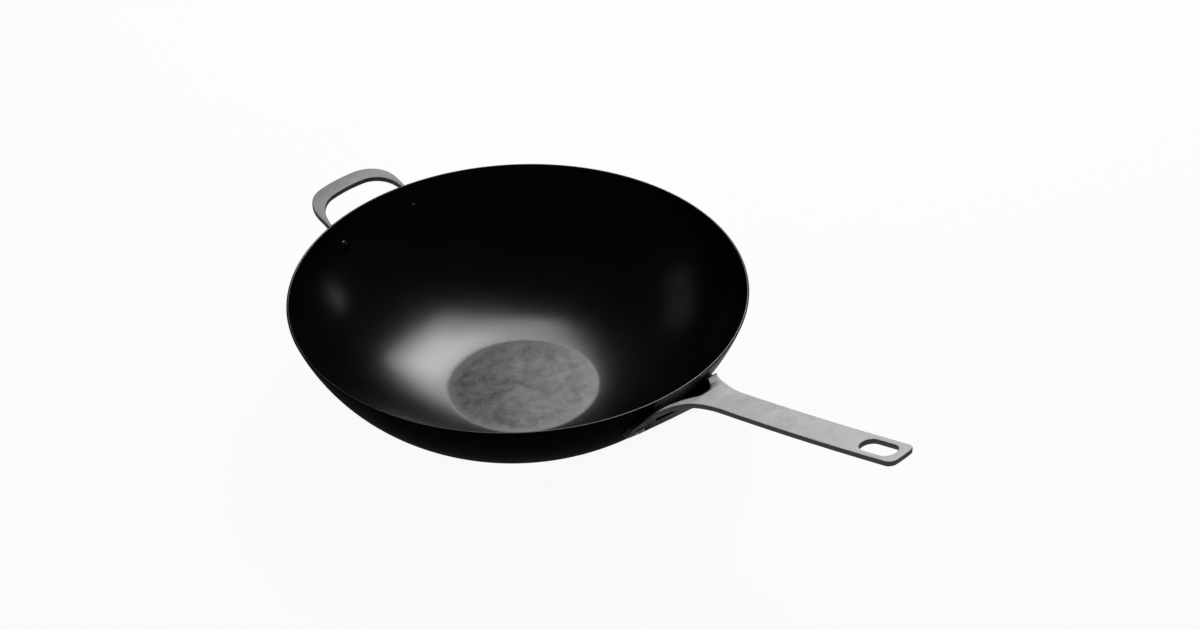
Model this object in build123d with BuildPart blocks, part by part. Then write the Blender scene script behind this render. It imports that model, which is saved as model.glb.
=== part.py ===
"""Carbon steel wok: a pressed bowl, a forked long handle, a loop helper handle and four rivets.

Millimetres, +Z up. The origin is the centre of the flat base's underside,
the long handle points along +X and the helper handle along -X.
"""
from build123d import *
import os
from math import acos, asin, atan2, cos, degrees, hypot, radians, sin, sqrt, tan

# Bowl, pressed from one sheet
rim_radius = 178.4
rim_height = 95.0
base_radius = 58.0
base_edge_radius = 30.0
wall_start_angle = 7.5
sheet_thickness = 1.8
rim_round = 0.6

# Castings are fitted to the wall with this much air under them
seat_gap = 0.1

# Long handle: a flat bar that bends down to the wall and forks over a brace.
# Each reach is a distance out past the rim.
bar_width = 25.8
bar_thickness = 4.2
bar_round = 0.8
bar_end_reach = 204.3
bar_corner_radius = 6.0
bar_end_bulge = 0.8
bar_root_reach = 27.6
bar_root_rise = 7.7
bar_root_angle = 12.0
bar_bow_radius = 3000.0
root_bend_radius = 62.0
root_bend_angle = 42.0
brace_bend_radius = 22.5
brace_angle = 44.5
brace_thickness = 3.2
brace_lead = 2.9
brace_inset = 2.0
brace_half_width = 29.7
flare_radius = 62.0
flare_start_reach = 46.6
fork_half_width = 35.0
web_end_reach = -1.5
window_half_width = 23.5
window_end_reach = 21.1
window_nose_radius = 12.0
window_lean_angle = 42.0

# Hanging slot near the end of the bar
slot_length = 31.0
slot_width = 15.5
slot_end_margin = 7.0

# Feet of the long handle, two wings that lie on the wall
wing_thickness = 3.6
wing_half_span = 44.5
wing_top_drop = 6.0
wing_shoulder_width = 30.0
wing_shoulder_drop = 9.0
wing_tip_drop = 21.0
wing_bottom_drop = 34.3
wing_corner_radius = 5.0

# Helper handle: a flat loop that arches down to two pads on the wall
loop_end_reach = 38.2
loop_half_width = 41.0
loop_corner_radius = 27.5
loop_bow_radius = 119.5
loop_hole_end_reach = 24.4
loop_hole_half_width = 37.5
loop_hole_corner_radius = 25.0
loop_thickness = 4.2
loop_round = 0.8
loop_arch_radius = 95.0
loop_crest_reach = 38.6
loop_crest_rise = 4.2
loop_arch_angle = 31.0
pad_thickness = 4.0
pad_width = 19.0
pad_top_drop = 5.0
pad_bottom_drop = 31.0
pad_corner_radius = 6.0

# Rivets, all of one pattern
long_rivet_half_pitch = 34.5
long_rivet_drop = 26.0
helper_rivet_half_pitch = 37.5
helper_rivet_drop = 19.0
shank_radius = 2.5
shank_clearance = 0.1
inner_head_radius = 4.2
inner_head_height = 1.6
outer_head_radius = 4.2
outer_head_height = 1.8
head_gap = 0.12

# Cuts run this far past what they cut
overrun = 5.0

# Distances from the axis of what is measured out from the rim
bar_end_radius = rim_radius + bar_end_reach
bar_root_radius = rim_radius + bar_root_reach
flare_start_radius = rim_radius + flare_start_reach
window_end_radius = rim_radius + window_end_reach
web_end_radius = rim_radius + web_end_reach
loop_end_radius = rim_radius + loop_end_reach
loop_hole_end_radius = rim_radius + loop_hole_end_reach
loop_crest_radius = rim_radius + loop_crest_reach

# Wall of the bowl: a large arc that leaves the base edge tangentially and ends at the rim
edge_run = base_edge_radius * sin(radians(wall_start_angle))
edge_rise = base_edge_radius * (1 - cos(radians(wall_start_angle)))
wall_run = rim_radius - base_radius - edge_run
wall_rise = rim_height - edge_rise
chord = hypot(wall_run, wall_rise)
chord_angle = degrees(atan2(wall_rise, wall_run))
wall_radius = chord / (2 * sin(radians(chord_angle - wall_start_angle)))
wall_centre_radius = base_radius + edge_run - wall_radius * sin(radians(wall_start_angle))
wall_centre_height = edge_rise + wall_radius * cos(radians(wall_start_angle))


def wall_angle(height, stand_off):
    """Slope in degrees, at a height, of the line that stands off the wall's outer face."""
    return degrees(acos((wall_centre_height - height) / (wall_radius + stand_off)))


def wall_reach(height, stand_off):
    """Distance from the axis, at a height, of the line that stands off the wall's outer face."""
    return wall_centre_radius + sqrt(
        (wall_radius + stand_off) ** 2 - (wall_centre_height - height) ** 2
    )


def bowl_section(stand_off):
    """Half section from the axis out to the line that stands off the outer face, up to the rim."""
    turn = wall_angle(rim_height, stand_off) - wall_start_angle
    with BuildSketch(Plane.XZ) as section:
        with BuildLine():
            floor = Line((0, -stand_off), (base_radius, -stand_off))
            edge = JernArc(floor @ 1, floor % 1, base_edge_radius + stand_off, wall_start_angle)
            wall = JernArc(edge @ 1, edge % 1, wall_radius + stand_off, turn)
            Polyline(wall @ 1, (0, rim_height), (0, -stand_off))
        make_face()
    return section.sketch


def bowl_blank(stand_off):
    """Solid bowl out to the line that stands off the outer face, for fitting what lies on it."""
    with BuildPart() as blank:
        add(bowl_section(stand_off))
        revolve(axis=Axis.Z)
    return blank.part


def rivet_plane(side, across, drop, stand_off):
    """Plane on the wall at a rivet, facing straight out; side is 1 for +X and -1 for -X."""
    height = rim_height - drop
    reach = wall_reach(height, 0)
    slope = radians(wall_angle(height, 0))
    along = side * sqrt(reach**2 - across**2)
    outward = Vector(along / reach * sin(slope), across / reach * sin(slope), -cos(slope))
    centre = Vector(along, across, height) + outward * stand_off
    return Plane(origin=centre, x_dir=Vector(-across, along, 0), z_dir=outward)


def rivet_seats(stand_off):
    """Planes of all four rivets by name, each moved outwards by stand_off."""
    long_place, helper_place = long_rivet_half_pitch, helper_rivet_half_pitch
    return {
        "long_handle_rivet_left": rivet_plane(1, long_place, long_rivet_drop, stand_off),
        "long_handle_rivet_right": rivet_plane(1, -long_place, long_rivet_drop, stand_off),
        "helper_handle_rivet_left": rivet_plane(-1, -helper_place, helper_rivet_drop, stand_off),
        "helper_handle_rivet_right": rivet_plane(-1, helper_place, helper_rivet_drop, stand_off),
    }


def rivet_holes():
    """Drills in the four rivets' places, long enough for the wall and a foot on it."""
    with BuildPart() as drills:
        for seat in rivet_seats(-sheet_thickness - overrun).values():
            with BuildSketch(seat):
                Circle(shank_radius + shank_clearance)
        extrude(amount=sheet_thickness + wing_thickness + 2 * overrun)
    return drills.part


drills = rivet_holes()
fitting_blank = bowl_blank(seat_gap)

# Bowl
with BuildPart() as wok_body:
    add(bowl_section(0))
    revolve(axis=Axis.Z)
    add(bowl_section(-sheet_thickness))
    revolve(axis=Axis.Z, mode=Mode.SUBTRACT)
    fillet(wok_body.edges().group_by(Axis.Z)[-1], rim_round)
    add(drills, mode=Mode.SUBTRACT)
wok_body.part.label = "wok_body"

# Long handle, seen from the side: the bar rises outwards in a long bow and bends down to the wall
towards_tip = Vector(cos(radians(bar_root_angle)), sin(radians(bar_root_angle)))
bar_normal = Vector(-towards_tip.Y, towards_tip.X)
bar_root = Vector(bar_root_radius, rim_height + bar_root_rise)
bar_middle = bar_root - bar_normal * (bar_thickness / 2)


def bar_slope(reach):
    """Slope of the bar in degrees at a distance from the axis."""
    return degrees(asin(sin(radians(bar_root_angle)) + (reach - bar_root_radius) / bar_bow_radius))


def bar_top(reach):
    """Height of the bar's top face at a distance from the axis."""
    drop = cos(radians(bar_root_angle)) - cos(radians(bar_slope(reach)))
    return rim_height + bar_root_rise + bar_bow_radius * drop


def handle_plan(half_width):
    """Outline of the long handle from above; its flare is cut off at a half width."""
    flare = degrees(acos(1 - (half_width - bar_width / 2) / flare_radius))
    with BuildSketch() as plan:
        with BuildLine():
            end = ThreePointArc(
                (bar_end_radius - bar_end_bulge, -bar_width / 2),
                (bar_end_radius, 0),
                (bar_end_radius - bar_end_bulge, bar_width / 2),
            )
            edge = Line(end @ 1, (flare_start_radius, bar_width / 2))
            curve = JernArc(edge @ 1, edge % 1, flare_radius, -flare)
            Polyline(curve @ 1, (base_radius, half_width), (base_radius, 0))
            curve = JernArc((flare_start_radius, -bar_width / 2), (-1, 0), flare_radius, flare)
            Line((flare_start_radius, -bar_width / 2), end @ 0)
            Polyline(curve @ 1, (base_radius, -half_width), (base_radius, 0))
        make_face()
        fillet(plan.vertices().group_by(Axis.X)[-1], bar_corner_radius)
    return plan.sketch


def outline_edges(strip, thickness):
    """Edges along the outline of a strip's two broad faces, clear of the end that meets the wall."""
    edges = strip.edges().filter_by(Axis.Y, reverse=True)
    edges = edges.filter_by(lambda edge: edge.length > 2 * thickness)
    return edges.filter_by(lambda edge: hypot(edge.center().X, edge.center().Y) > rim_radius)


# Bar and fan: one bent strip, with the window between the fan's arms
bow_turn = bar_slope(bar_end_radius + overrun) - bar_root_angle
with BuildPart() as bar_and_fan:
    with BuildSketch(Plane.XZ):
        with BuildLine():
            JernArc(bar_middle, towards_tip, bar_bow_radius + bar_thickness / 2, bow_turn)
            JernArc(bar_middle, -towards_tip, root_bend_radius - bar_thickness / 2, root_bend_angle)
        trace(line_width=bar_thickness)
    extrude(amount=fork_half_width + overrun, both=True)
    add(handle_plan(fork_half_width))
    extrude(amount=2 * rim_height, mode=Mode.INTERSECT)
    fillet(outline_edges(bar_and_fan, bar_thickness), bar_round)
    with BuildSketch() as window:
        with BuildLine():
            nose = JernArc((window_end_radius, 0), (0, 1), window_nose_radius, 90 - window_lean_angle)
            lean = (window_half_width - (nose @ 1).Y) / tan(radians(window_lean_angle))
            side = Line(nose @ 1, ((nose @ 1).X - lean, window_half_width))
            Polyline(side @ 1, (base_radius, window_half_width), (base_radius, 0))
            mirror(about=Plane.XZ)
        make_face()
    extrude(amount=2 * rim_height, mode=Mode.SUBTRACT)

# Brace under the fan: a second strip from the bar's root down to the foot of the wings,
# coned about the bowl's axis so that it meets the round wall evenly
brace_end_height = rim_height - wing_bottom_drop
brace_root = bar_middle + towards_tip * brace_lead


def under_fork(section, plan):
    """Part of a ring, spun from a half section, that lies under the fork's plan."""
    with BuildPart() as body:
        add(section)
        revolve(axis=Axis.Z)
        with BuildSketch(Plane.XY.offset(brace_end_height)):
            add(plan)
        extrude(amount=rim_height, mode=Mode.INTERSECT)
    return body.part


with BuildLine() as brace_line:
    bend = JernArc(brace_root, -towards_tip, brace_bend_radius, brace_angle - bar_root_angle)
    brace_length = ((bend @ 1).Y - brace_end_height) / sin(radians(brace_angle)) + overrun
    down = PolarLine(bend @ 1, brace_length, direction=bend % 1)
with BuildSketch(Plane.XZ) as brace_section:
    add(brace_line.line)
    trace(line_width=brace_thickness)
with BuildSketch() as brace_plan:
    add(handle_plan(fork_half_width))
    offset(amount=-brace_inset, mode=Mode.REPLACE)
    Rectangle(2 * bar_end_radius, 2 * brace_half_width, mode=Mode.INTERSECT)
brace = under_fork(brace_section.sketch, brace_plan.sketch)

# Webs: the fan's arms and the brace are one lump of metal close to the wall
with BuildSketch(Plane.XZ) as web_section:
    with BuildLine():
        add(brace_line.line)
        fan_turn = root_bend_radius - bar_thickness / 2
        over = JernArc(brace_root, -towards_tip, fan_turn, root_bend_angle)
        Line(over @ 1, down @ 1)
    make_face()
with BuildSketch() as web_plan:
    add(brace_plan.sketch)
    with Locations((web_end_radius, 0)):
        Rectangle(rim_radius, rim_radius, align=(Align.MAX, Align.CENTER), mode=Mode.INTERSECT)
    Rectangle(2 * rim_radius, 2 * window_half_width, mode=Mode.SUBTRACT)
webs = under_fork(web_section.sketch, web_plan.sketch)


def wall_shell(thickness):
    """Ring of metal of a thickness, lying on the wall all round."""
    with BuildPart() as shell:
        add(bowl_section(seat_gap + thickness))
        revolve(axis=Axis.Z)
        add(fitting_blank, mode=Mode.SUBTRACT)
    return shell.part


# Wings: the ends of the fork spread along the wall
with BuildPart() as wings:
    add(wall_shell(wing_thickness))
    with BuildSketch(Plane.YZ.offset(base_radius)):
        with BuildLine():
            Polyline(
                (window_half_width, rim_height - wing_top_drop),
                (wing_shoulder_width, rim_height - wing_shoulder_drop),
                (wing_half_span, rim_height - wing_tip_drop),
                (wing_half_span, brace_end_height),
                (window_half_width, brace_end_height),
                close=True,
            )
        wing = make_face()
        fillet(wing.vertices().group_by(Axis.X)[-1], wing_corner_radius)
        mirror(about=Plane.YZ)
    extrude(amount=rim_radius, mode=Mode.INTERSECT)

# Long handle, one casting
slot_centre = bar_end_radius - slot_end_margin - slot_length / 2
slot_slope = radians(bar_slope(slot_centre))
slot_plane = Plane(
    origin=(slot_centre, 0, bar_top(slot_centre)),
    x_dir=(cos(slot_slope), 0, sin(slot_slope)),
    z_dir=(-sin(slot_slope), 0, cos(slot_slope)),
)
with BuildPart() as long_handle:
    add(bar_and_fan.part)
    add(brace)
    add(webs)
    add(wings.part)
    with BuildSketch(slot_plane):
        SlotOverall(slot_length, slot_width)
    extrude(amount=bar_thickness + overrun, both=True, mode=Mode.SUBTRACT)
    rims = long_handle.edges().filter_by(lambda edge: edge.length > 2 * bar_thickness)
    rims = rims.filter_by(
        lambda edge: hypot(edge.center().X - slot_centre, edge.center().Y) < slot_length / 2
    )
    fillet(rims, bar_round)
    add(fitting_blank, mode=Mode.SUBTRACT)
    add(drills, mode=Mode.SUBTRACT)
long_handle.part.label = "long_handle"

# Loop of the helper handle: an arched strip cut to the loop's outline
loop_crest = (-loop_crest_radius, rim_height + loop_crest_rise - loop_thickness / 2)


def loop_plan(end_radius, half_width, corner_radius):
    """Outline on the -X side from above: straight sides, round corners and a bowed end."""
    side_end = -end_radius + loop_bow_radius - sqrt(loop_bow_radius**2 - half_width**2)
    with BuildSketch() as plan:
        with BuildLine():
            end = ThreePointArc((side_end, half_width), (-end_radius, 0), (side_end, -half_width))
            Polyline(end @ 1, (0, -half_width), (0, half_width), end @ 0)
        make_face()
        fillet(plan.vertices().group_by(Axis.X)[0], corner_radius)
    return plan.sketch


with BuildPart() as loop:
    with BuildSketch(Plane.XZ):
        with BuildLine():
            JernArc(loop_crest, (1, 0), loop_arch_radius - loop_thickness / 2, -loop_arch_angle)
        trace(line_width=loop_thickness)
    extrude(amount=loop_half_width + overrun, both=True)
    add(loop_plan(loop_end_radius, loop_half_width, loop_corner_radius))
    extrude(amount=2 * rim_height, mode=Mode.INTERSECT)
    add(loop_plan(loop_hole_end_radius, loop_hole_half_width, loop_hole_corner_radius))
    extrude(amount=2 * rim_height, mode=Mode.SUBTRACT)
    fillet(outline_edges(loop, loop_thickness), loop_round)

# Pads of the helper handle, on the wall under the ends of the loop
pad_height = pad_bottom_drop - pad_top_drop
with BuildPart() as pads:
    add(wall_shell(pad_thickness))
    with BuildSketch(Plane.YZ.offset(-base_radius)):
        pad_centre_height = rim_height - pad_top_drop - pad_height / 2
        pad_places = [(side * helper_rivet_half_pitch, pad_centre_height) for side in (1, -1)]
        with Locations(pad_places):
            RectangleRounded(pad_width, pad_height, pad_corner_radius)
    extrude(amount=-rim_radius, mode=Mode.INTERSECT)

# Helper handle, one casting
with BuildPart() as helper_handle:
    add(loop.part)
    add(pads.part)
    add(fitting_blank, mode=Mode.SUBTRACT)
    add(drills, mode=Mode.SUBTRACT)
helper_handle.part.label = "helper_handle"


def rivet(seat, foot_thickness):
    """Domed rivet through the wall and a foot; seat is its plane on the wall's outer face."""
    inner = -sheet_thickness - head_gap
    outer = seat_gap + foot_thickness + head_gap
    inner_crown = (inner_head_radius**2 + inner_head_height**2) / (2 * inner_head_height)
    outer_crown = (outer_head_radius**2 + outer_head_height**2) / (2 * outer_head_height)
    half_section = Plane(origin=seat.origin, x_dir=seat.x_dir, z_dir=-seat.y_dir)
    with BuildPart() as body:
        with BuildSketch(half_section):
            with BuildLine():
                RadiusArc((0, inner - inner_head_height), (inner_head_radius, inner), -inner_crown)
                Polyline(
                    (inner_head_radius, inner),
                    (shank_radius, inner),
                    (shank_radius, outer),
                    (outer_head_radius, outer),
                )
                RadiusArc((outer_head_radius, outer), (0, outer + outer_head_height), -outer_crown)
                Line((0, outer + outer_head_height), (0, inner - inner_head_height))
            make_face()
        revolve(axis=Axis(seat.origin, seat.z_dir))
    return body.part


pieces = [wok_body.part, long_handle.part, helper_handle.part]
for name, seat in rivet_seats(0).items():
    foot_thickness = wing_thickness if name.startswith("long") else pad_thickness
    pieces.append(rivet(seat, foot_thickness))
    pieces[-1].label = name

os.makedirs("parts", exist_ok=True)
for piece in pieces:
    export_step(piece, f"parts/{piece.label}.step")
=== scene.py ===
"""Carbon steel wok in a plain studio: seasoned bowl, tumbled steel handles and blackened rivets.

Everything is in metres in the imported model's frame: the origin is the centre of
the flat base's underside, +X runs along the long handle and +Z is up.
"""
import math
from functools import partial

import bmesh
import bpy
from bpy.props import FloatProperty, FloatVectorProperty, IntProperty, PointerProperty
from mathutils import Matrix, Vector


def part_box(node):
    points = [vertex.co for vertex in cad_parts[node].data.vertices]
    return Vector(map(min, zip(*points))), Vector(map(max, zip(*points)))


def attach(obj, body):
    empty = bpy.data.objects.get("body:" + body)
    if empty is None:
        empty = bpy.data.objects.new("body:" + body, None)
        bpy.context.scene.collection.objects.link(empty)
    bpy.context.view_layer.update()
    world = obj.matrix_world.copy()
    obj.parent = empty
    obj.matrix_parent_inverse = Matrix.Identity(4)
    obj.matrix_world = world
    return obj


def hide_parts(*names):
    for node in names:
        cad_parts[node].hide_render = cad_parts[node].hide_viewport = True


bl_info = {
    "name": "Carbon Steel Wok",
    "version": (1, 0, 0),
    "blender": (4, 5, 0),
    "location": "View3D > Sidebar > Wok",
    "description": "Dresses the packed wok: bowl, handles, rivets and studio",
    "category": "Object",
}

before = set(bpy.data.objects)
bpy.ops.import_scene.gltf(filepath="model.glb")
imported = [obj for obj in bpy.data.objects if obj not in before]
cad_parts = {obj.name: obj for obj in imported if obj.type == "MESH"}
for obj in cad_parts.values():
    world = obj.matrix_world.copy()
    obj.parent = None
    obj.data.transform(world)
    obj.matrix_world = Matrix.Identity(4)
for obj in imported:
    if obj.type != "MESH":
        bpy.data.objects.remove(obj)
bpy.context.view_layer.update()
MM = 0.001
RIM_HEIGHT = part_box("wok_body")[1].z

# Places of the colour sockets among a Mix node's inputs and outputs
MIX_FACTOR, MIX_A, MIX_B, MIX_RESULT = 0, 6, 7, 2


def srgb(hex_code):
    """Linear colour, with alpha, of an sRGB hex value such as #808080."""
    channels = [int(hex_code[i:i + 2], 16) / 255 for i in (1, 3, 5)]
    linear = [c / 12.92 if c <= 0.04045 else ((c + 0.055) / 1.055) ** 2.4 for c in channels]
    return (*linear, 1.0)


def finish_colour(name):
    """One of the user's finish colours, with alpha."""
    return (*getattr(bpy.context.scene.wok_finish, name), 1.0)


def add_node(material, kind, inputs=(), **settings):
    """Add a node, set its attributes and fill its inputs; gives its outputs.

    The inputs come in the order of the node's sockets, or under their names or
    places. Each is a value, or another node's output that is linked in.
    """
    tree = material.node_tree
    node = tree.nodes.new("ShaderNode" + kind)
    for name, value in settings.items():
        setattr(node, name, value)
    for key, value in inputs.items() if isinstance(inputs, dict) else enumerate(inputs):
        if isinstance(value, bpy.types.NodeSocket):
            tree.links.new(value, node.inputs[key])
        else:
            node.inputs[key].default_value = value
    return node.outputs


def new_material(name):
    """Empty material, the function that adds its nodes, and the coordinates of its patterns."""
    material = bpy.data.materials.new(name)
    material.use_nodes = True
    material.node_tree.nodes.clear()
    add = partial(add_node, material)
    return material, add, add("TexCoord")["Object"]


def finish_layers(add, colour, *layers):
    """Colour of finishes laid over one another, each as far as its own factor says."""
    for factor, finish in layers:
        sockets = {MIX_FACTOR: factor, MIX_A: colour, MIX_B: finish}
        colour = add("Mix", sockets, data_type="RGBA")[MIX_RESULT]
    return colour


def noise_inputs(place, size_mm, detail, roughness=0.55):
    """Inputs of a noise whose patches are about size_mm across."""
    return {
        "Vector": place,
        "Scale": 1 / (size_mm * MM),
        "Detail": detail,
        "Roughness": roughness,
    }


def seasoned_inside():
    """Oil-seasoned carbon steel inside the bowl.

    Polymerised oil over blued steel: near black, satin and smooth on the wall,
    and mottled and a little greyer on the flat base, where the oil pools.
    Painted light makes the base greyer towards +X and +Y.
    """
    material, add, place = new_material("seasoned_carbon_steel_inside")
    x, y, _ = add("SeparateXYZ", [place])

    # The mottled disc has a ragged edge, and fades out where the sheet bends up
    base_radius = bpy.context.scene.wok_bowl.base_radius
    radius = add("VectorMath", [add("CombineXYZ", [x, y])[0]], operation="LENGTH")["Value"]
    frayed = add("TexNoise", noise_inputs(place, 12, 4))[0]
    frayed = add("MapRange", [frayed, 0.3, 0.7, -1.8 * MM, 1.8 * MM])[0]
    edge = add("Math", [radius, frayed], operation="ADD")[0]
    base = add("MapRange", [edge, base_radius - 7 * MM, base_radius + 3 * MM, 1, 0])[0]

    # Towards +X and +Y the base is smoother and painted a lighter grey: painted light on that side
    side = add("Math", [x, y], operation="ADD")[0]
    drift = add("TexNoise", noise_inputs(place, 24, 2))[0]
    drift = add("MapRange", [drift, 0.3, 0.7, -45 * MM, 45 * MM])[0]
    drifted = add("Math", [side, drift], operation="ADD")[0]
    painted_side_light = add("MapRange", [drifted, -70 * MM, 55 * MM, 0, 0.5])[0]
    mottle = add("TexNoise", noise_inputs(place, 9, 9, 0.76))[0]
    speckled = add("MapRange", [mottle, 0.38, 0.62, 0, 0.5])[0]
    mottle_and_painted_light = add("Math", [painted_side_light, speckled], operation="ADD")[0]

    broad = add("TexNoise", noise_inputs(place, 45, 2))[0]
    spots = add("Math", [base, mottle_and_painted_light], operation="MULTIPLY")[0]
    colour = finish_layers(
        add,
        finish_colour("seasoning"),
        (broad, finish_colour("thin_seasoning")),
        (spots, finish_colour("base_mottle")),
    )

    satin = add("MapRange", [broad, 0.35, 0.65, 0.22, 0.25])[0]
    thin = add("MapRange", [mottle_and_painted_light, 0, 1, 0.38, 0.06])[0]
    drier = add("Math", [base, thin], operation="MULTIPLY")[0]
    grain = add("Math", [base, mottle], operation="MULTIPLY")[0]
    shader = add("BsdfPrincipled", {
        "Base Color": colour,
        "Metallic": 0,
        "IOR": 1.5,
        "Specular IOR Level": 0.5,
        "Roughness": add("Math", [satin, drier], operation="ADD")[0],
        "Normal": add("Bump", {"Strength": 1, "Distance": 0.08 * MM, "Height": grain})[0],
    })
    add("OutputMaterial", {"Surface": shader[0]})
    return material


def seasoned_outside():
    """The same sheet outside the bowl, where the heat leaves the black drier and duller.

    Towards +X and +Y the wall is made metallic and greyer, a painted sheen that shows
    grey at low angles. Just below the rim, between the fork's arms, a bright metallic
    band is a painted reflection.
    """
    material, add, place = new_material("seasoned_carbon_steel_outside")
    x, y, z = add("SeparateXYZ", [place])

    # Painted sheen: the wall is metallic and greyer towards +X and +Y
    side = add("Math", [x, y], operation="ADD")[0]
    sheen = add("MapRange", [side, 140 * MM, 200 * MM, 0, 1])[0]
    # Painted reflection: a bright metallic band just below the rim, between the fork's arms
    sideways = add("Math", [y], operation="ABSOLUTE")[0]
    near_middle = add("MapRange", [sideways, 18 * MM, 30 * MM, 1, 0])[0]
    handle_half = add("MapRange", [x, 0, 50 * MM, 0, 1])[0]
    near_rim = add("MapRange", [z, RIM_HEIGHT - 20 * MM, RIM_HEIGHT - 10 * MM, 0, 1])[0]
    between = add("Math", [near_middle, handle_half], operation="MULTIPLY")[0]
    bare = add("Math", [between, near_rim], operation="MULTIPLY")[0]

    broad = add("TexNoise", noise_inputs(place, 40, 3))[0]
    fine = add("TexNoise", noise_inputs(place, 1.5, 3))[0]
    colour = finish_layers(
        add,
        finish_colour("seasoning"),
        (broad, finish_colour("thin_seasoning")),
        (sheen, finish_colour("outer_sheen")),
        (bare, finish_colour("painted_reflection_steel")),
    )
    shader = add("BsdfPrincipled", {
        "Base Color": colour,
        "Metallic": add("Math", [sheen, bare], operation="MAXIMUM")[0],
        "IOR": 1.5,
        "Specular IOR Level": 0.0015,
        "Roughness": add("MapRange", [broad, 0.3, 0.7, 0.52, 0.62])[0],
        "Normal": add("Bump", {"Strength": 1, "Distance": 0.01 * MM, "Height": fine})[0],
    })
    add("OutputMaterial", {"Surface": shader[0]})
    return material


def bare_edge():
    """Cut edge of the sheet at the rim: the black rubs off and leaves a thin line of grey steel."""
    material, add, place = new_material("rubbed_steel_edge")
    x, y, _ = add("SeparateXYZ", [place])
    side = add("Math", [x, y], operation="ADD")[0]
    spared = add("MapRange", [side, 0, 170 * MM, 1, 0.25])[0]
    wear = add("TexNoise", noise_inputs(place, 18, 4, 0.6))[0]
    patchy = add("MapRange", [wear, 0.35, 0.65, 0.15, 0.9])[0]
    worn = add("Math", [patchy, spared], operation="MULTIPLY")[0]
    shader = add("BsdfPrincipled", {
        "Base Color": finish_layers(
            add, finish_colour("seasoning"), (worn, finish_colour("rubbed_edge"))
        ),
        "Metallic": 1,
        "Roughness": add("MapRange", [wear, 0.3, 0.7, 0.5, 0.36])[0],
    })
    add("OutputMaterial", {"Surface": shader[0]})
    return material


def tumbled_steel():
    """Tumbled bare steel casting: clouded grey upper faces, painted shade on sides and feet."""
    material, add, place = new_material("tumbled_steel_casting")
    clouds = add("TexNoise", noise_inputs(place, 16, 6, 0.62))[0]
    # Tumbling grit is finer than this; 1.6 mm is the smallest that shows
    scuffs = add("TexNoise", noise_inputs(place, 1.6, 4, 0.7))[0]
    clouds = add("Math", [clouds, 0.65], operation="MULTIPLY")[0]
    mixed = add("Math", [scuffs, 0.35], operation="MULTIPLY")[0]
    mixed = add("Math", [clouds, mixed], operation="ADD")[0]

    # Painted light and shade: the upper faces above the feet keep the light tumbled colour,
    # the side and under faces get a painted shade, and the feet a darker painted shade
    x, _, z = add("SeparateXYZ", [place])
    upward = add("SeparateXYZ", [add("TexCoord")["Normal"]])["Z"]
    upward = add("MapRange", [upward, 0.5, 0.7, 0, 1])[0]
    above_the_feet = add("MapRange", [z, RIM_HEIGHT - 9 * MM, RIM_HEIGHT - 4 * MM, 0, 1])[0]
    # Painted shade on the feet, below the rim
    painted_foot_shade_mask = add("MapRange", [z, RIM_HEIGHT - 24 * MM, RIM_HEIGHT - 8 * MM, 1, 0])[0]
    # Brighter towards +X and darker towards -X, across both handles
    brighter_towards_plus_x = add("MapRange", [x, -220 * MM, 380 * MM, -0.55, 0.45])[0]
    cloudy = add("MapRange", [mixed, 0.34, 0.66, 0, 1])[0]
    bright = add("Math", [cloudy, brighter_towards_plus_x], operation="ADD")[0]
    top = add("Math", [above_the_feet, upward], operation="MULTIPLY")[0]
    face = finish_layers(
        add, finish_colour("tumbled_face"), (bright, finish_colour("tumbled_bright"))
    )
    shade = finish_layers(add, finish_colour("painted_side_shade"), (painted_foot_shade_mask, finish_colour("painted_foot_shade")))
    shader = add("BsdfPrincipled", {
        "Base Color": finish_layers(add, shade, (top, face)),
        "Metallic": 1,
        "Roughness": add("MapRange", [mixed, 0.3, 0.7, 0.68, 0.8])[0],
        "Normal": add("Bump", {"Strength": 1, "Distance": 0.05 * MM, "Height": scuffs})[0],
    })
    add("OutputMaterial", {"Surface": shader[0]})
    return material


def blackened_steel():
    """Rivet heads: blackened steel with a satin dome that the swaging tool polished."""
    material, add, place = new_material("blackened_steel_rivet")
    wear = add("TexNoise", noise_inputs(place, 2.5, 3))[0]
    worn = add("MapRange", [wear, 0.4, 0.6, 0, 1])[0]
    shader = add("BsdfPrincipled", {
        "Base Color": finish_layers(
            add, finish_colour("seasoning"), (worn, finish_colour("rivet_wear"))
        ),
        "Metallic": 0,
        "IOR": 1.5,
        "Roughness": add("MapRange", [wear, 0.3, 0.7, 0.18, 0.28])[0],
    })
    add("OutputMaterial", {"Surface": shader[0]})
    return material


def studio_floor():
    """White paper sweep that looks white to the camera and in reflections, and takes shadows."""
    material, add, place = new_material("white_paper_sweep")
    tone = add("TexNoise", noise_inputs(place, 300, 1))[0]
    tone = add("MapRange", [tone, 0.3, 0.7, 0, 1])[0]
    shade = finish_layers(add, srgb("#f4f4f4"), (tone, srgb("#f6f6f6")))
    paper = add("BsdfDiffuse", {"Color": shade})[0]
    white = add("Emission", {"Color": srgb("#ffffff"), "Strength": 1})[0]
    path = add("LightPath")
    seen = path["Is Camera Ray"]
    for ray in ("Is Glossy Ray", "Is Transmission Ray"):
        seen = add("Math", [seen, path[ray]], operation="MAXIMUM")[0]
    share = add("Math", [seen, bpy.context.scene.wok_studio.white_share], operation="MULTIPLY")[0]
    add("OutputMaterial", {"Surface": add("MixShader", [share, paper, white])[0]})
    return material


def finish_piece(mesh_builder, name, materials, node, smooth_angle):
    """Turn a bmesh into a smooth-shaded piece that rides with the wok and replaces its CAD node."""
    mesh = bpy.data.meshes.new(name)
    mesh_builder.to_mesh(mesh)
    mesh_builder.free()
    for material in materials:
        mesh.materials.append(material)
    mesh.shade_smooth()
    mesh.set_sharp_from_angle(angle=math.radians(smooth_angle))
    piece = bpy.data.objects.new(name, mesh)
    bpy.context.scene.collection.objects.link(piece)
    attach(piece, "root")
    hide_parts(node)
    return piece


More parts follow.
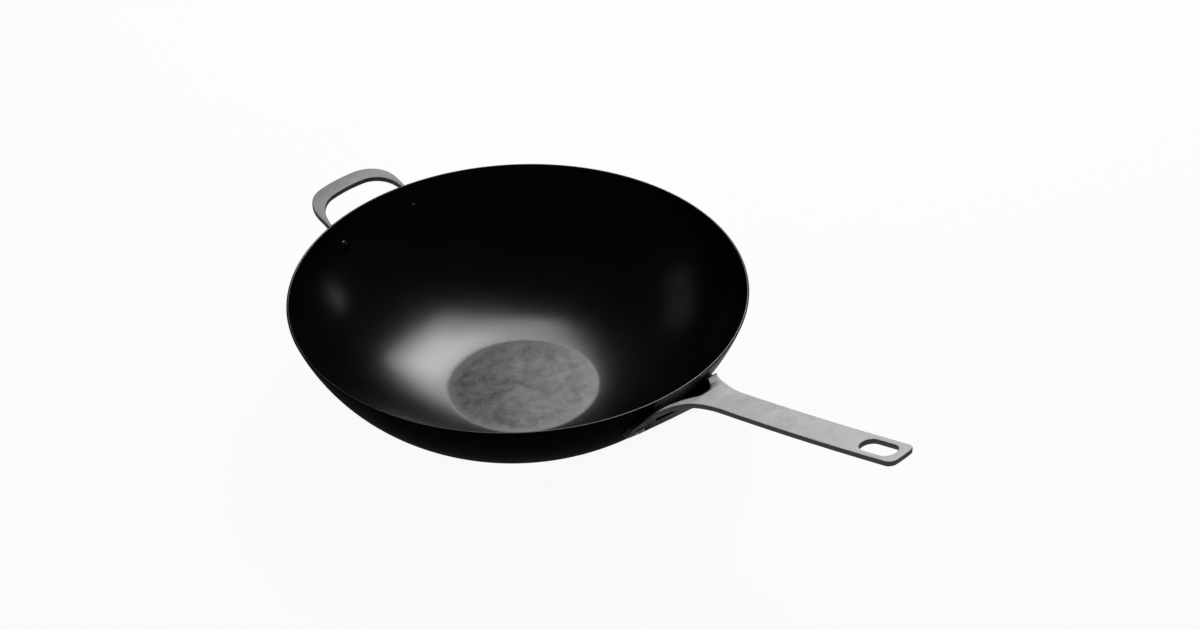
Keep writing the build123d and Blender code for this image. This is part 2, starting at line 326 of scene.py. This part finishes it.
def merged_copy(node):
    """Copy of a CAD node's mesh with its loose triangles joined."""
    copy = bmesh.new()
    copy.from_mesh(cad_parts[node].data)
    bmesh.ops.remove_doubles(copy, verts=copy.verts, dist=0.002 * MM)
    return copy


def colour_property(name, description, hex_code):
    """Colour of a finish that a user may change."""
    return FloatVectorProperty(
        name=name,
        description=description,
        size=3,
        default=srgb(hex_code)[:3],
        min=0.0,
        max=1.0,
        subtype="COLOR",
    )


class WokBowlSettings(bpy.types.PropertyGroup):
    """Sizes of the pressed bowl."""

    rim_radius: FloatProperty(
        name="Rim radius",
        description="Outside radius before the rim is rounded",
        default=178.4 * MM,
        unit="LENGTH",
    )
    base_radius: FloatProperty(
        name="Base radius",
        description="Radius of the flat base",
        default=58.0 * MM,
        unit="LENGTH",
    )
    base_edge_radius: FloatProperty(
        name="Base edge radius",
        description="Radius of the bend between base and wall",
        default=30.0 * MM,
        unit="LENGTH",
    )
    wall_start_angle: FloatProperty(
        name="Wall start angle",
        description="Slope of the wall where it leaves the base edge",
        default=math.radians(7.5),
        subtype="ANGLE",
    )
    sheet_thickness: FloatProperty(
        name="Sheet thickness",
        description="Thickness of the steel sheet",
        default=1.8 * MM,
        unit="LENGTH",
    )
    rim_round: FloatProperty(
        name="Rim round",
        description="Round on both edges of the rim",
        default=0.6 * MM,
        unit="LENGTH",
    )
    segments: IntProperty(
        name="Segments",
        description="Steps of the spin round the axis",
        default=256,
        min=32,
    )


class WokFinishSettings(bpy.types.PropertyGroup):
    """Colours of the steel's finishes and of its painted light, shade, sheen and reflection."""

    seasoning: colour_property("Seasoning", "Black of the baked oil", "#040404")
    thin_seasoning: colour_property("Thin seasoning", "Where the baked oil is thinner", "#080808")
    # Also used for the painted light on the base towards +X and +Y
    base_mottle: colour_property("Base mottle", "Greyer spots on the flat base", "#525252")
    # Painted sheen on the outer wall
    outer_sheen: colour_property("Outer sheen", "Outer wall towards +X and +Y", "#2a2a2a")
    # Painted reflection band on the outer wall below the rim
    painted_reflection_steel: colour_property(
        "Missed steel", "Outer wall between the fork's arms", "#c8c8c8"
    )
    rubbed_edge: colour_property("Rubbed edge", "Steel along the rim's outer edge", "#2e2e2e")
    tumbled_face: colour_property("Tumbled face", "Casting's flat faces", "#989898")
    tumbled_bright: colour_property("Tumbled bright", "Their brighter clouds", "#cccccc")
    # Painted shade on the casting's side and under faces
    painted_side_shade: colour_property("As cast", "Casting's side and under faces", "#5a5a5a")
    # Painted shade on the casting's feet
    painted_foot_shade: colour_property("Soot", "Casting's feet, near the flame", "#262626")
    rivet_wear: colour_property("Rivet wear", "Where the rivets' black wears", "#141414")


class WokStudioSettings(bpy.types.PropertyGroup):
    """Camera, world and floor."""

    lens: FloatProperty(name="Lens", description="Focal length in millimetres", default=78.0)
    camera_azimuth: FloatProperty(
        name="Camera azimuth",
        description="Direction of the camera round the wok, from -Y towards +X",
        default=math.radians(46.153),
        subtype="ANGLE",
    )
    camera_elevation: FloatProperty(
        name="Camera elevation",
        description="Height angle of the camera",
        default=0.63073,
        subtype="ANGLE",
    )
    camera_roll: FloatProperty(
        name="Camera roll",
        description="Turn of the camera about its view",
        default=-0.02904,
        subtype="ANGLE",
    )
    camera_distance: FloatProperty(
        name="Camera distance",
        description="From the centre of the rim's plane",
        default=2.0052,
        unit="LENGTH",
    )
    camera_shift: FloatVectorProperty(
        name="Camera offset",
        description="Sideways and upward move of the camera in its own frame",
        size=2,
        default=(63.32 * MM, -19.79 * MM),
        unit="LENGTH",
    )
    white_share: FloatProperty(
        name="White share",
        description="Share of plain white in what the camera and reflections see of the floor",
        default=0.94,
        min=0.0,
        max=1.0,
        subtype="FACTOR",
    )
    world_strength: FloatProperty(
        name="World strength",
        description="Strength of the white world behind the lamps",
        default=0.03,
        min=0.0,
    )


class WOK_OT_bowl(bpy.types.Operator):
    """Press the bowl from one sheet: spin its section round the axis and thicken it inwards"""

    bl_idname = "wok.bowl"
    bl_label = "Bowl"

    # Steps along the section's parts and across the rounded rim
    base_steps, edge_steps, wall_steps, round_steps = 14, 6, 60, 4
    # Faces that meet at a greater angle than this are the rim's two edges
    rim_edge_angle = math.radians(60)
    # The bare line shows on rim faces that look up at least this much
    bare_slope = 0.3

    def execute(self, context):
        sizes = context.scene.wok_bowl
        # Where the base edge ends, and the radius of the wall's arc from there to the rim
        start = sizes.wall_start_angle
        edge_end = Vector((
            sizes.base_radius + sizes.base_edge_radius * math.sin(start),
            0.0,
            sizes.base_edge_radius * (1 - math.cos(start)),
        ))
        chord = Vector((sizes.rim_radius, 0.0, RIM_HEIGHT)) - edge_end
        wall_turn = 2 * (math.atan2(chord.z, chord.x) - start)
        wall_radius = chord.length / (2 * math.sin(wall_turn / 2))
        wall_centre = edge_end + Vector((-math.sin(start), 0.0, math.cos(start))) * wall_radius

        bowl = bmesh.new()
        last = bowl.verts.new((0.0, 0.0, 0.0))
        for _ in range(self.base_steps):
            grown = bmesh.ops.extrude_vert_indiv(bowl, verts=[last])["verts"][0]
            grown.co.x += sizes.base_radius / self.base_steps
            last = grown
        edge_centre = Vector((sizes.base_radius, 0.0, sizes.base_edge_radius))
        for arc_centre, turn, steps in (
            (edge_centre, start, self.edge_steps),
            (wall_centre, wall_turn, self.wall_steps),
        ):
            spun = bmesh.ops.spin(
                bowl, geom=[last], cent=arc_centre, axis=(0, -1, 0), angle=turn, steps=steps
            )
            last = [v for v in spun["geom_last"] if isinstance(v, bmesh.types.BMVert)][0]
        bmesh.ops.spin(
            bowl,
            geom=bowl.verts[:] + bowl.edges[:],
            cent=(0, 0, 0),
            axis=(0, 0, 1),
            angle=math.tau,
            steps=sizes.segments,
            use_merge=True,
        )
        bmesh.ops.remove_doubles(bowl, verts=bowl.verts, dist=0.01 * MM)
        bmesh.ops.recalc_face_normals(bowl, faces=bowl.faces)
        # The sheet gets its thickness inwards, so its faces look outwards first
        top = max(bowl.verts, key=lambda v: v.co.z)
        if top.link_faces[0].normal.xy.dot(top.co.xy) < 0:
            bmesh.ops.reverse_faces(bowl, faces=bowl.faces)
        bmesh.ops.solidify(bowl, geom=bowl.faces[:], thickness=sizes.sheet_thickness)
        rim_edges = [
            e for e in bowl.edges
            if len(e.link_faces) == 2 and e.calc_face_angle() > self.rim_edge_angle
        ]
        rounded = bmesh.ops.bevel(
            bowl,
            geom=rim_edges,
            offset=sizes.rim_round,
            affect="EDGES",
            segments=self.round_steps,
            profile=0.5,
            material=-1,
        )
        bowl.normal_update()
        # Outside faces look away from a point on the axis, at the height of the rim
        for face in bowl.faces:
            middle = face.calc_center_median()
            away = (Vector((middle.x, middle.y, 0.0)) - Vector((0.0, 0.0, RIM_HEIGHT))).normalized()
            face.material_index = 1 if face.normal.dot(away) > 0 else 0
        mid_sheet = sizes.rim_radius - sizes.sheet_thickness / 2
        for face in rounded["faces"]:
            outer_half = face.calc_center_median().xy.length > mid_sheet
            if outer_half and face.normal.z > self.bare_slope:
                face.material_index = 2
        finish_piece(
            bowl,
            "bowl_sheet",
            [seasoned_inside(), seasoned_outside(), bare_edge()],
            "wok_body",
            40,
        )
        return {"FINISHED"}


class WOK_OT_handles(bpy.types.Operator):
    """Dress the long handle and the helper handle with tumbled steel"""

    bl_idname = "wok.handles"
    bl_label = "Handles"

    def execute(self, context):
        steel = tumbled_steel()
        for node in ("long_handle", "helper_handle"):
            casting = merged_copy(node)
            finish_piece(casting, node + "_casting", [steel], node, 32)
        return {"FINISHED"}


class WOK_OT_rivets(bpy.types.Operator):
    """Dress the rivets, whose domes show inside the bowl and on the handles' feet"""

    bl_idname = "wok.rivets"
    bl_label = "Rivets"

    def execute(self, context):
        steel = blackened_steel()
        for node in sorted(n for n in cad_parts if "rivet" in n):
            finish_piece(merged_copy(node), node + "_dome", [steel], node, 40)
        return {"FINISHED"}


class WOK_OT_studio(bpy.types.Operator):
    """Set the camera of the photograph, a white sweep and soft lamps"""

    bl_idname = "wok.studio"
    bl_label = "Studio"

    # Name, azimuth and elevation in degrees, distance, width, height, radiance
    lamps = (
        ("key_softbox", 119.0, 48.0, 1.7, 0.50, 0.55, 5.6),
        ("key_spill", 122.0, 50.0, 1.72, 1.0, 1.05, 5.2),
        ("side_strip", 79.0, 13.5, 1.8, 0.22, 0.30, 1.2),
        ("far_strip", 196.0, 26.0, 1.8, 0.80, 0.40, 0.2),
    )
    sweep_half_width = 6.0
    # The sweep lies a little below the base, so the two don't share a plane
    sweep_drop = 0.3 * MM

    def execute(self, context):
        settings = context.scene.wok_studio
        self.place_camera(context.scene, settings)
        self.lay_sweep(context.scene)
        self.hang_lamps(context.scene)
        world = bpy.data.worlds.new("studio_dusk")
        world.use_nodes = True
        background = world.node_tree.nodes["Background"]
        background.inputs["Color"].default_value = srgb("#ffffff")
        background.inputs["Strength"].default_value = settings.world_strength
        context.scene.world = world
        context.scene.view_settings.view_transform = "Standard"
        return {"FINISHED"}

    def place_camera(self, scene, settings):
        azimuth, elevation = settings.camera_azimuth, settings.camera_elevation
        back = Vector((
            math.sin(azimuth) * math.cos(elevation),
            -math.cos(azimuth) * math.cos(elevation),
            math.sin(elevation),
        ))
        level = Vector((math.cos(azimuth), math.sin(azimuth), 0.0))
        upright = back.cross(level)
        roll = settings.camera_roll
        right = math.cos(roll) * level + math.sin(roll) * upright
        up = math.cos(roll) * upright - math.sin(roll) * level
        sideways, upwards = settings.camera_shift
        place = Vector((0.0, 0.0, RIM_HEIGHT)) + sideways * right + upwards * up
        place += settings.camera_distance * back
        camera_data = bpy.data.cameras.new("photo_camera")
        camera_data.lens = settings.lens
        camera_data.sensor_width = 36.0
        camera_data.clip_end = 50.0
        camera = bpy.data.objects.new("photo_camera", camera_data)
        turn = Matrix((right, up, back)).transposed().to_4x4()
        camera.matrix_world = Matrix.Translation(place) @ turn
        scene.collection.objects.link(camera)
        scene.camera = camera

    def lay_sweep(self, scene):
        sheet = bmesh.new()
        bmesh.ops.create_grid(sheet, x_segments=2, y_segments=2, size=self.sweep_half_width)
        bmesh.ops.translate(sheet, verts=sheet.verts, vec=(0.0, 0.0, -self.sweep_drop))
        mesh = bpy.data.meshes.new("paper_sweep")
        sheet.to_mesh(mesh)
        sheet.free()
        mesh.materials.append(studio_floor())
        floor = bpy.data.objects.new("paper_sweep", mesh)
        scene.collection.objects.link(floor)

    def hang_lamps(self, scene):
        for name, azimuth, elevation, distance, width, height, radiance in self.lamps:
            data = bpy.data.lights.new(name, "AREA")
            data.shape = "RECTANGLE"
            data.size = width
            data.size_y = height
            # A one-sided panel of radiance L gives out pi L per unit of area
            data.energy = radiance * math.pi * width * height
            lamp = bpy.data.objects.new(name, data)
            a, e = math.radians(azimuth), math.radians(elevation)
            towards = Vector((math.cos(e) * math.cos(a), math.cos(e) * math.sin(a), math.sin(e)))
            lamp.matrix_world = (
                Matrix.Translation(towards * distance)
                @ towards.to_track_quat("Z", "Y").to_matrix().to_4x4()
            )
            scene.collection.objects.link(lamp)


class WOK_PT_panel(bpy.types.Panel):
    """Buttons and sizes of the wok"""

    bl_idname = "WOK_PT_panel"
    bl_label = "Wok"
    bl_space_type = "VIEW_3D"
    bl_region_type = "UI"
    bl_category = "Wok"

    def draw(self, context):
        for operator in (WOK_OT_bowl, WOK_OT_handles, WOK_OT_rivets, WOK_OT_studio):
            self.layout.operator(operator.bl_idname)
        scene = context.scene
        for group in (scene.wok_bowl, scene.wok_finish, scene.wok_studio):
            for name in group.__annotations__:
                self.layout.prop(group, name)


CLASSES = (
    WokBowlSettings,
    WokFinishSettings,
    WokStudioSettings,
    WOK_OT_bowl,
    WOK_OT_handles,
    WOK_OT_rivets,
    WOK_OT_studio,
    WOK_PT_panel,
)


def register():
    for cls in CLASSES:
        bpy.utils.register_class(cls)
    bpy.types.Scene.wok_bowl = PointerProperty(type=WokBowlSettings)
    bpy.types.Scene.wok_finish = PointerProperty(type=WokFinishSettings)
    bpy.types.Scene.wok_studio = PointerProperty(type=WokStudioSettings)


def unregister():
    del bpy.types.Scene.wok_studio
    del bpy.types.Scene.wok_finish
    del bpy.types.Scene.wok_bowl
    for cls in reversed(CLASSES):
        bpy.utils.unregister_class(cls)


def main():
    register()
    bpy.ops.wok.studio()
    bpy.ops.wok.bowl()
    bpy.ops.wok.handles()
    bpy.ops.wok.rivets()


if __name__ == "__main__":
    main()
